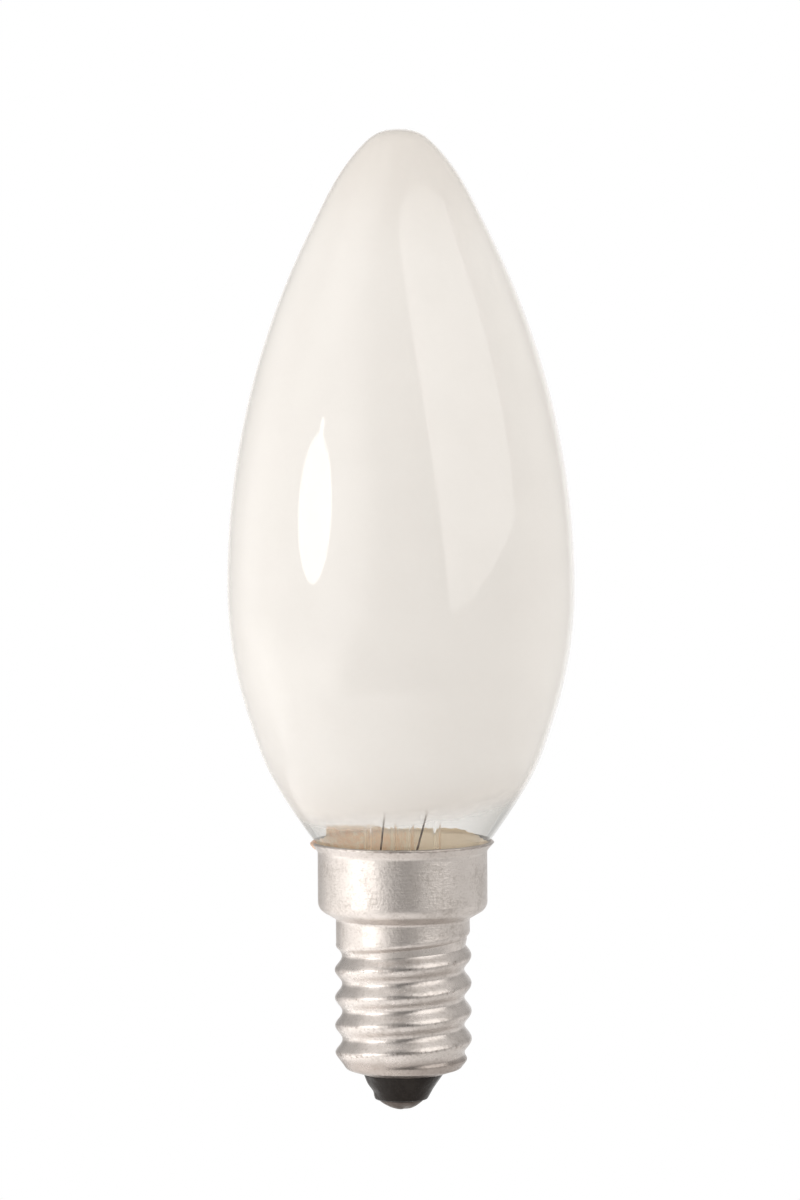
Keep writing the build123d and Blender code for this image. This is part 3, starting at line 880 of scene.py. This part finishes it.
class BULB_OT_leads(bpy.types.Operator):
    """Make the lead wires, and finish the inner leads, the filament and its supports"""
    bl_idname = "candle_bulb.leads"
    bl_label = "Leads and filament"

    def execute(self, context):
        neck = context.scene.bulb_neck
        dark = wire_finish("leadout_wire", neck.wire_tint, tuple(0.5 * c for c in neck.wire_tint), 0.6)
        bright = wire_finish("lead_wire", (0.52, 0.50, 0.47), (0.30, 0.28, 0.26), 1.0)
        coil = wire_finish("filament_wire", (0.16, 0.16, 0.17), (0.08, 0.08, 0.085), 0.9)
        for node, corners in LEAD_WIRES.items():
            piece = bent_wire("wire_" + node, np.array(corners) * MM, neck.wire / 2, neck.wire_bend)
            settle(piece, dark, "leadout_wire", node)
        for node in ("inner_lead_side", "inner_lead_centre"):
            repaint(node, bright)
        for node in ("filament", "filament_supports"):
            repaint(node, coil)
        return {"FINISHED"}


class BULB_OT_cap(bpy.types.Operator):
    """Make the cap's sheet with its rolled thread, and the solder on its lip"""
    bl_idname = "candle_bulb.cap"
    bl_label = "Cap"

    def execute(self, context):
        cap = context.scene.bulb_cap
        points, worn = cap_sheet_grid(cap)
        sheet = surface("cap_sheet", points, loop=True, worn=worn)
        settle(sheet, cap_metal_finish(cap), "cap_sheet", "cap_shell")
        weld = surface("lip_solder", lip_solder_grid(cap))
        settle(weld, copper_finish(cap), "rim_solder", "rim_weld")
        return {"FINISHED"}


class BULB_OT_cement(bpy.types.Operator):
    """Make the cement between the neck and the skirt, squeezed up behind the glass"""
    bl_idname = "candle_bulb.cement"
    bl_label = "Cement"

    def execute(self, context):
        neck = context.scene.bulb_neck
        cap = context.scene.bulb_cap
        points, edge = cement_grid(neck, context.scene.bulb_glass, cap)
        ring = surface("cement_ring", points, loop=True, edge=edge)
        settle(ring, cement_finish(neck, cap.top), "cement", "cap_cement")
        return {"FINISHED"}


class BULB_OT_contact(bpy.types.Operator):
    """Make the black insulator, the contact plate and its solder"""
    bl_idname = "candle_bulb.contact"
    bl_label = "Contact"

    def execute(self, context):
        contact = context.scene.bulb_contact
        off_axis = np.array([contact.lean, 0.0, 0.0])
        nose = surface("insulator_nose", nose_grid(contact, context.scene.bulb_cap), loop=True)
        settle(nose, black_glass_finish(contact), "black_glass", "cap_insulator")
        disc = surface("contact_disc", plate_grid(contact) - off_axis, loop=True)
        settle(disc, brass_finish(contact), "contact_brass", "contact_plate")
        dome = surface("contact_dome", dome_grid(contact) - off_axis)
        settle(dome, solder_finish(contact), "tip_solder", "contact_solder")
        return {"FINISHED"}


def heading(side, lift):
    """Direction from the bulb: degrees to the right of the camera and degrees above the horizon."""
    side = radians(side)
    lift = radians(lift)
    return Vector((sin(side) * cos(lift), -cos(side) * cos(lift), sin(lift)))


LAMP_TINT = (1.0, 0.985, 0.96)
STUDIO_TINT = (1.0, 0.985, 0.965)
# How much darker the studio is towards the camera, and degrees to the right of it and up to the key lamp
FRONT_SHADE = 0.19
KEY_SIDE, KEY_LIFT = -60.5, 6.9
CAMERA_SIDE = (0.1, -1.0, 0.0)
BACKDROP = (0.1, 1.0, 0.0)
# Glows of the studio: direction, the cosines off it at which a glow starts and is full, and its strength
GLOWS = {
    "round the key lamp": (heading(KEY_SIDE, KEY_LIFT), 0.7, 0.97, 0.76),
    "right of the key lamp": (heading(-38.0, 5.0), 0.9, 0.99, 0.65),
    "left wall": ((-1.0, 0.1, 0.0), 0.3, 0.9, 0.12),
    "left behind": ((-0.93, 0.34, -0.12), 0.89, 0.985, 0.7),
    "high left behind": (heading(-130.0, 32.0), 0.85, 0.98, 0.22),
    "high right behind": (heading(130.0, 34.0), 0.85, 0.98, 0.3),
    "right behind": ((1.0, 0.45, -0.25), 0.8, 0.99, 0.42),
    "ceiling on the right": (heading(80.0, 62.0), 0.8, 0.96, 0.5),
    "ceiling on the left": (heading(-75.0, 55.0), 0.84, 0.96, 0.75),
    "ceiling": ((0.0, 0.0, 1.0), 0.75, 0.98, 0.24),
    "backdrop": (BACKDROP, 0.85, 0.99, 0.6),
    "ground": ((0.0, 0.0, -1.0), -0.1, 0.25, 0.3),
}
# Lit table top on the left, and the direction away from which its far edge cuts it off
TABLE = ((-0.95, -0.16, -0.28), 0.76, 0.93, 1.1)
TABLE_EDGE = ((0.348, 0.145, -0.926), -0.16, 0.0, 1.0)


def pale_world(stage):
    """Studio round the bulb: an even grey, darker near the camera, with soft glows and a lit table top.

    The camera sees white, and so do the clear glass and what mirrors the backdrop.
    """
    nodes = Nodes(bpy.data.worlds.new("studio"), "ShaderNodeOutputWorld")
    way = nodes.node("ShaderNodeTexCoord").outputs["Generated"]

    def facing(direction, start, full, strength, away=0.0):
        """Brightness by the cosine between a ray and a direction, eased from its value away to a strength."""
        cosine = nodes.vector("DOT_PRODUCT", way, Vector(direction).normalized(), output="Value")
        return nodes.ramp(cosine, start, full, away, strength)

    level = facing(CAMERA_SIDE, 0.45, 0.98, stage.ambient - FRONT_SHADE, away=stage.ambient)
    for glow in GLOWS.values():
        level = nodes.math("ADD", level, facing(*glow))
    level = nodes.math("ADD", level, nodes.math("MULTIPLY", facing(*TABLE), facing(*TABLE_EDGE)))
    studio = nodes.shader("ShaderNodeBackground", Color=STUDIO_TINT, Strength=level)
    white = nodes.shader("ShaderNodeBackground", Color=(1.0, 1.0, 1.0))
    rays = nodes.node("ShaderNodeLightPath").outputs
    seen = nodes.math("MAXIMUM", rays["Is Camera Ray"], rays["Is Transmission Ray"])
    mirrored = nodes.math("MULTIPLY", rays["Is Glossy Ray"], facing(BACKDROP, 0.9, 0.99, 1.0))
    return nodes.done(nodes.mix(nodes.math("MAXIMUM", seen, mirrored), studio, white))


def floor_finish(stage):
    """Pale floor that takes the bulb's shadow; white to the camera, and in mirrors a painted glow that is
    brightest on the left.
    """
    finish = Finish("floor")
    dust = finish.noise(0.02, 3.0)
    colour = finish.blend(dust, stage.floor_tint, tuple(0.97 * c for c in stage.floor_tint))
    matt = finish.shader("ShaderNodeBsdfDiffuse", Color=colour)
    light = finish.shader("ShaderNodeEmission", Color=(1.0, 1.0, 1.0), Strength=0.6)
    both = finish.shader("ShaderNodeAddShader", matt, light)
    rays = finish.node("ShaderNodeLightPath").outputs
    # Painted light: in mirrors the floor glows, more brightly on the left, as a pool of light from the table
    # lamp.
    lit = finish.ramp(finish.axes()[0], -60.0, 100.0, 0.75, 0.3)
    mirrored = finish.math("MULTIPLY", rays["Is Glossy Ray"], lit)
    seen = finish.math("MAXIMUM", rays["Is Camera Ray"], mirrored)
    return finish.done(finish.mix(seen, matt, both))


def panel_finish(stage):
    """White cloth with a lamp behind it, a little uneven."""
    finish = Finish("panel")
    light = stage.panel_light
    cloth = finish.ramp(finish.noise(0.004, 2.0), 0.2, 0.8, 0.94 * light, 1.06 * light)
    return finish.done(finish.shader("ShaderNodeEmission", Color=LAMP_TINT, Strength=cloth))


def place(name, data, spot, turn):
    """Puts a lamp or a camera into the scene at a spot, turned by a matrix."""
    made = into_scene(name, data)
    made.matrix_world = Matrix.Translation(spot) @ turn
    return made


def facing_away(direction):
    """Turn that points a lamp against a direction."""
    return direction.to_track_quat("Z", "Y").to_matrix().to_4x4()


def lay_floor(stage):
    """Round floor below the bulb: rings out to the rim, down its edge and back to the middle."""
    radius, thick, count = 0.3, 0.01, 6
    rings = np.append(np.linspace(0.0, radius, count), (radius, 0.0))[:, None]
    below = thick * (np.arange(len(rings)) >= count)[:, None]
    floor = surface("floor", turned(rings, -stage.floor_drop - below, turn_angles(96))[::-1])
    floor.data.materials.append(floor_finish(stage))


# Round lamp and the stub on its top: degrees above the lamp's middle, half width and half height in degrees
KEY_LAMPS = {"key": (0.0, 13.0, 9.8), "key_top": (10.3, 1.8, 1.9)}


def hang_key(stage, aim):
    """Round lamp on the left, whose power gives the same brightness for any size."""
    for name, (lift, half_width, half_height) in KEY_LAMPS.items():
        lamp = bpy.data.lights.new(name, "AREA")
        lamp.shape = "ELLIPSE"
        lamp.size = 2 * stage.lamp_distance * tan(radians(half_width))
        lamp.size_y = 2 * stage.lamp_distance * tan(radians(half_height))
        lamp.energy = stage.key_light * pi * pi / 4 * lamp.size * lamp.size_y
        lamp.color = LAMP_TINT
        away = heading(KEY_SIDE, KEY_LIFT + lift)
        place(name, lamp, aim + stage.lamp_distance * away, facing_away(away))


def hang_table_light(stage):
    """Narrow lamp over the left of the floor."""
    stand = Vector((-0.35, 0.05, 0.4))
    lit = Vector((-0.22, 0.03, -stage.floor_drop))
    lamp = bpy.data.lights.new("table_light", "SPOT")
    lamp.energy = stage.table_light
    lamp.spot_size = radians(46.0)
    lamp.spot_blend = 0.6
    lamp.shadow_soft_size = 0.05
    place("table_light", lamp, stand, facing_away(stand - lit))


# Middle and corners of the panel: degrees to the right of the camera, degrees above the horizon
PANEL_MIDDLE = (55.0, 20.0)
PANEL_CORNERS = [(33.0, -8.0), (84.0, 4.0), (87.0, 39.0), (0.0, 50.0)]


def hang_panel(stage, aim):
    """Flat panel on the right: its corners lie in given directions, all in the plane square to its middle."""
    middle = heading(*PANEL_MIDDLE)
    ways = [heading(*corner) for corner in PANEL_CORNERS]
    corners = [aim + way * stage.lamp_distance / way.dot(middle) for way in ways]
    sheet = bpy.data.meshes.new("panel")
    sheet.from_pydata(corners, [], [(3, 2, 1, 0)])
    sheet.materials.append(panel_finish(stage))
    panel = into_scene("panel", sheet)


def set_camera(stage):
    """Camera in front of the bulb, a little above it, framed by the picture's height."""
    lens = bpy.data.cameras.new("camera")
    lens.sensor_width = 36.0
    lens.lens = lens.sensor_width * stage.distance / stage.frame_height
    lens.clip_start = 0.05
    lens.clip_end = 20.0
    aim = Vector((stage.aim_side, 0.0, stage.aim_height))
    back = Vector((0.0, -cos(stage.elevation), sin(stage.elevation))) * stage.distance
    turn = Matrix.Rotation(pi / 2 - stage.elevation, 4, "X") @ Matrix.Rotation(-stage.roll, 4, "Z")
    bpy.context.scene.camera = place("camera", lens, aim + back, turn)


class BULB_OT_stage(bpy.types.Operator):
    """Set up the floor, the lamps and the camera"""
    bl_idname = "candle_bulb.stage"
    bl_label = "Stage"

    def execute(self, context):
        stage = context.scene.bulb_stage
        aim = Vector((0.0, 0.0, stage.aim_height))
        context.scene.view_settings.view_transform = "Standard"
        context.scene.world = pale_world(stage)
        lay_floor(stage)
        hang_key(stage, aim)
        hang_table_light(stage)
        hang_panel(stage, aim)
        set_camera(stage)
        return {"FINISHED"}


class BULB_PT_panel(bpy.types.Panel):
    """Lists what makes the bulb"""
    bl_label = "Candle bulb"
    bl_idname = "BULB_PT_panel"
    bl_space_type = "VIEW_3D"
    bl_region_type = "UI"
    bl_category = "Candle bulb"

    def draw(self, context):
        for operator in OPERATORS:
            self.layout.operator(operator.bl_idname)


OPERATORS = (BULB_OT_glass, BULB_OT_leads, BULB_OT_cap, BULB_OT_cement, BULB_OT_contact, BULB_OT_stage)
SETTINGS = {
    "bulb_glass": GlassSettings,
    "bulb_cap": CapSettings,
    "bulb_neck": NeckSettings,
    "bulb_contact": ContactSettings,
    "bulb_stage": StageSettings,
}


def register():
    for group in (*SETTINGS.values(), *OPERATORS, BULB_PT_panel):
        bpy.utils.register_class(group)
    for name, group in SETTINGS.items():
        setattr(bpy.types.Scene, name, PointerProperty(type=group))


def unregister():
    for name in SETTINGS:
        delattr(bpy.types.Scene, name)
    for group in reversed((*SETTINGS.values(), *OPERATORS, BULB_PT_panel)):
        bpy.utils.unregister_class(group)


def main():
    register()
    bpy.ops.candle_bulb.glass()
    bpy.ops.candle_bulb.leads()
    bpy.ops.candle_bulb.cap()
    bpy.ops.candle_bulb.cement()
    bpy.ops.candle_bulb.contact()
    bpy.ops.candle_bulb.stage()


if __name__ == "__main__":
    main()
